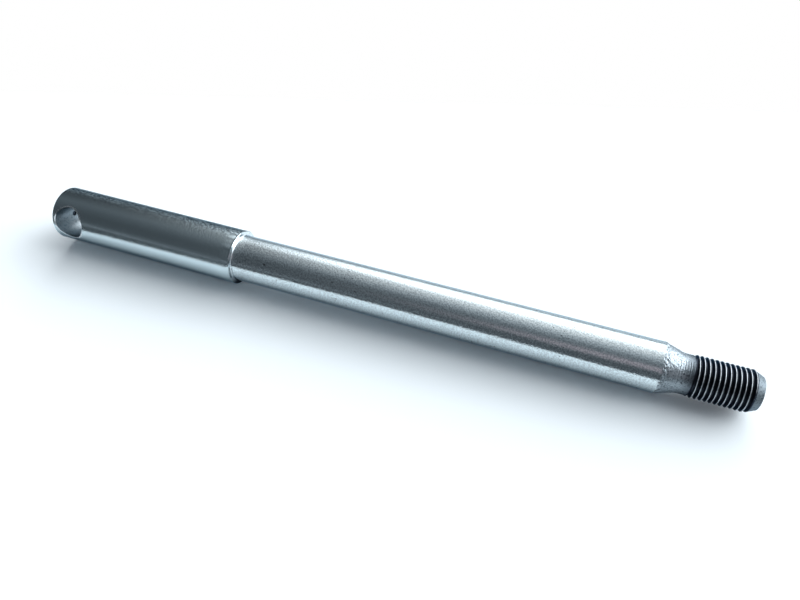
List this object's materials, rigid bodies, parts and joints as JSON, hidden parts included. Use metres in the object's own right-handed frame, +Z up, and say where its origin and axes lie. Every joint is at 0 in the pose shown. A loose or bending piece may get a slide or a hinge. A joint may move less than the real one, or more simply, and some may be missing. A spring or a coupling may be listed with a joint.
{
  "type": "bicycle front axle",
  "caption": "One-piece steel front wheel axle: cross-drilled cylindrical head, shoulder, long ground shaft, tapered neck and threaded end with a pointed tip.",
  "frame": {"origin": "middle of the shoulder face that stops against the hub, on the axle's centre line", "axes": "+X runs along the axle from the shoulder towards the threaded end, the head is on the -X side; +Z is up as the axle lies in the picture, and -Y is the side nearer the viewer, where the cross-hole's upper mouth shows"},
  "size_m": [0.2565, 0.0202, 0.0203],
  "materials": {
    "steel": "ground on the shaft, as turned on the head and the taper, worn and lightly oiled on the thread"
  },
  "bodies": {
    "root": {"front_axle": "steel"}
  },
  "joints": []
}
